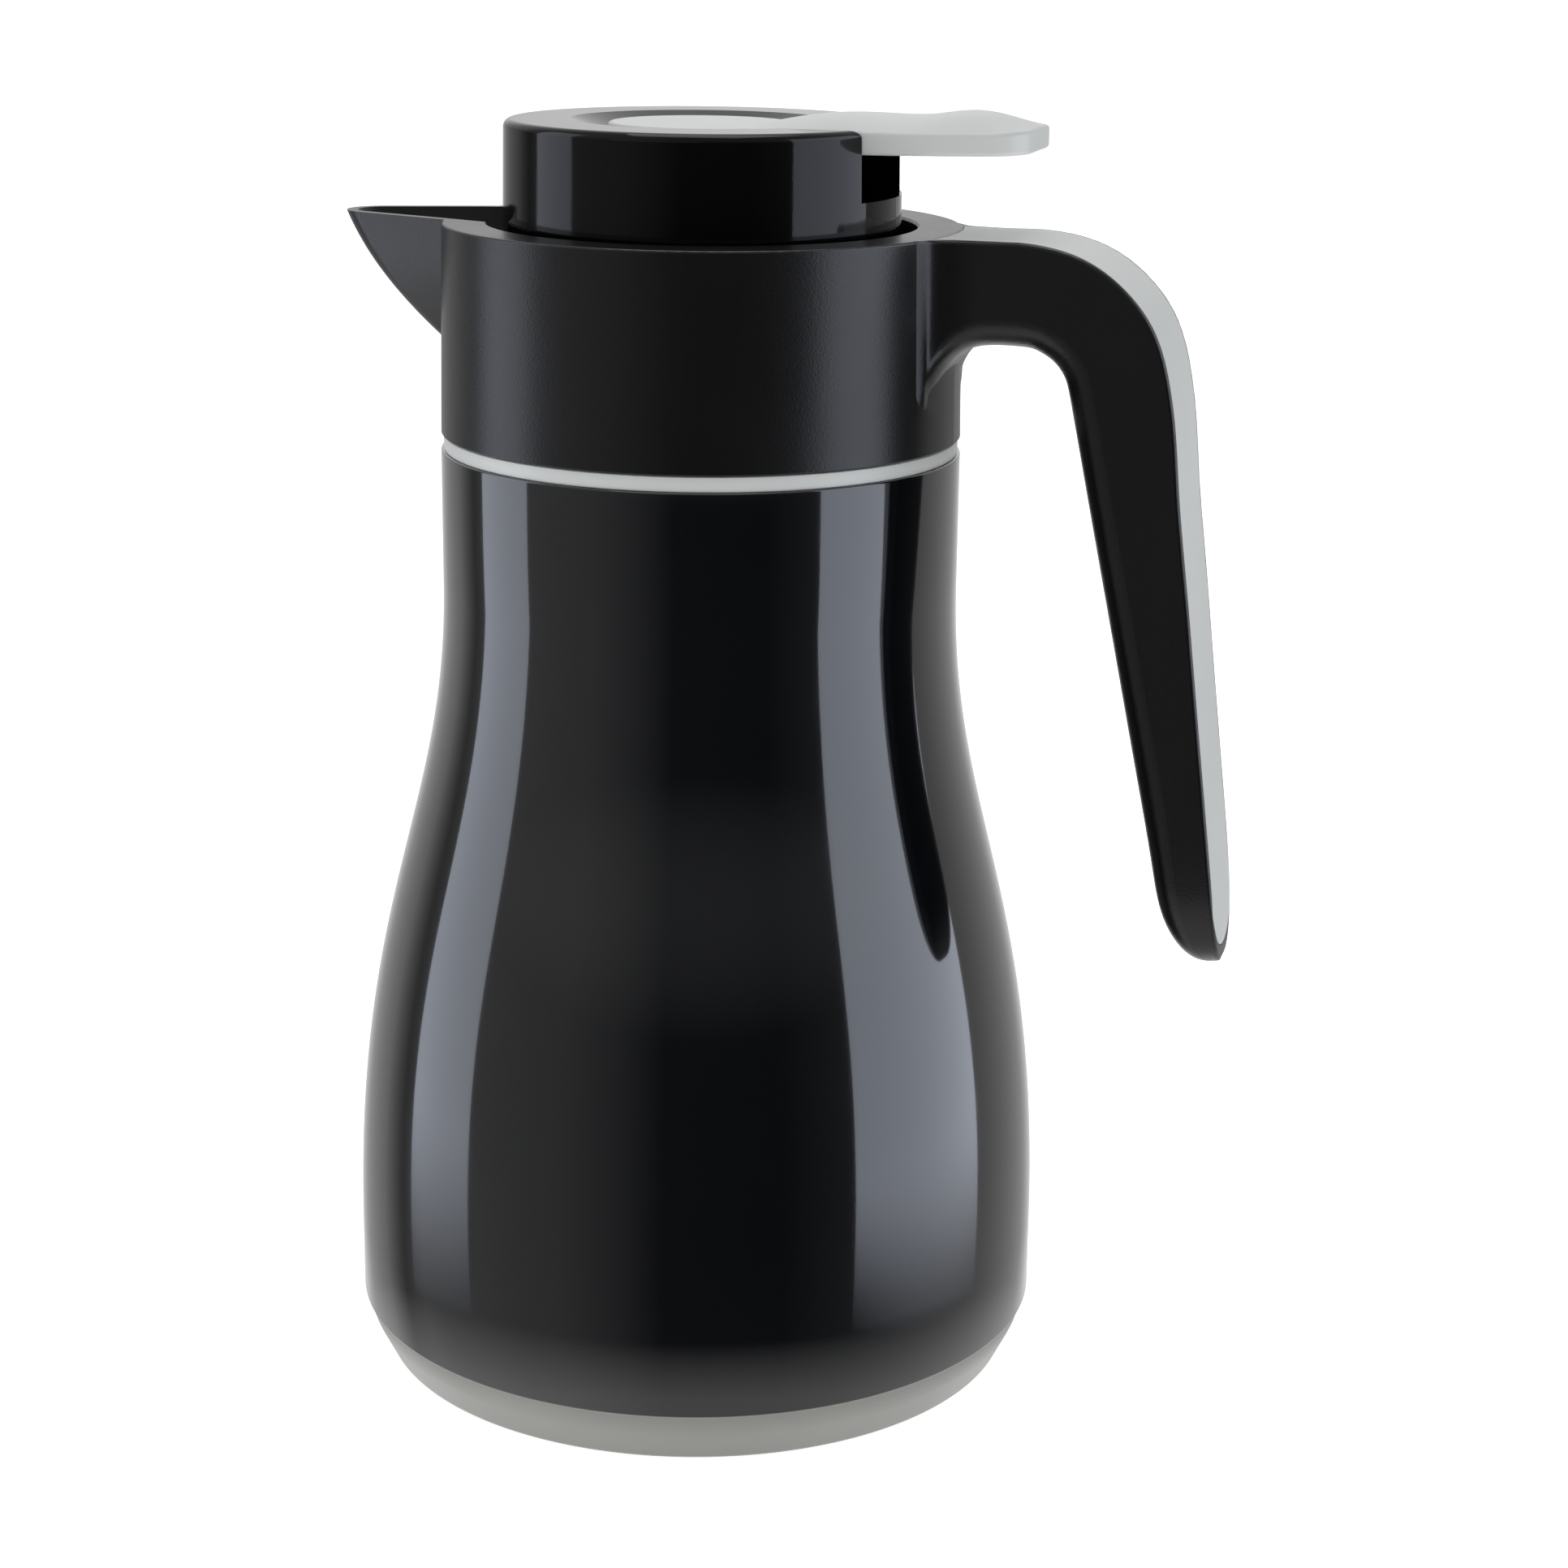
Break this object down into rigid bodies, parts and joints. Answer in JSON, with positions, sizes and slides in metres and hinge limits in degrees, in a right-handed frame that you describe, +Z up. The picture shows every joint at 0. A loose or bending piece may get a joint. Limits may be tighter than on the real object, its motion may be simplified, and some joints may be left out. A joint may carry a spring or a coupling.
{
  "type": "thermal carafe",
  "caption": "Bell-shaped thermal carafe with a glass flask, screw-in lid, pouring beak, hook handle and a thumb lever that opens a sprung pouring valve.",
  "frame": {"origin": "centre of the base's underside, on the surface it stands on", "axes": "+Z up along the body's axis, +X towards the handle, -X towards the pouring beak"},
  "size_m": [0.1847, 0.142, 0.258],
  "materials": {
    "body_gloss": "glossy blue-black",
    "lid_gloss": "glossy black",
    "collar_matte": "satin black with a fine moulded grain",
    "trim_grey": "satin light cool grey",
    "base_grey": "satin light grey",
    "inner_plastic": "satin black",
    "silvered_glass": "silvered vacuum glass",
    "seal_rubber": "matte silicone",
    "steel": "plain stainless steel"
  },
  "bodies": {
    "carafe": {"outer_body": "body_gloss", "base_cap": "base_grey", "base_seal": "seal_rubber", "trim_ring": "trim_grey", "collar": "collar_matte", "handle_inlay": "trim_grey", "glass_liner": "silvered_glass", "liner_gasket": "seal_rubber", "liner_cushion": "seal_rubber", "neck_insert": "inner_plastic"},
    "lid_seal": {"stopper_gasket": "seal_rubber"},
    "lid": {"stopper_body": "inner_plastic", "lid_cap": "lid_gloss", "lever_pin": "steel", "return_spring": "steel", "stem_seal": "seal_rubber"},
    "lever": {"lever": "trim_grey"},
    "valve": {"valve_stem": "steel", "stem_cap": "inner_plastic", "valve_seal": "seal_rubber", "valve_plate": "inner_plastic", "valve_nut": "steel"}
  },
  "joints": [
    {"name": "lid_lift", "type": "slide", "parent": "carafe", "child": "lid_seal", "axis": [0, 0, 1], "range_m": [0, 0.06]},
    {"name": "lid_turn", "type": "hinge", "parent": "lid_seal", "child": "lid", "pos_m": [0, 0, 0.21], "axis": [0, 0, 1], "range_deg": [0, 721]},
    {"name": "lever_press", "type": "hinge", "parent": "lid", "child": "lever", "pos_m": [-0.015, 0, 0.244], "axis": [0, 1, 0], "range_deg": [0, 8.9]},
    {"name": "valve_open", "type": "slide", "parent": "lid", "child": "valve", "axis": [0, 0, -1], "range_m": [0, 0.00227], "stiffness_N_per_m": 250, "springref_m": -0.008, "deforming": ["return_spring"]}
  ],
  "couplings": [
    {"joint": "lid_turn", "follows": "lid_lift", "rad_per_m": 209.44},
    {"joint": "lever_press", "follows": "valve_open", "rad_per_m": 65.35}
  ]
}
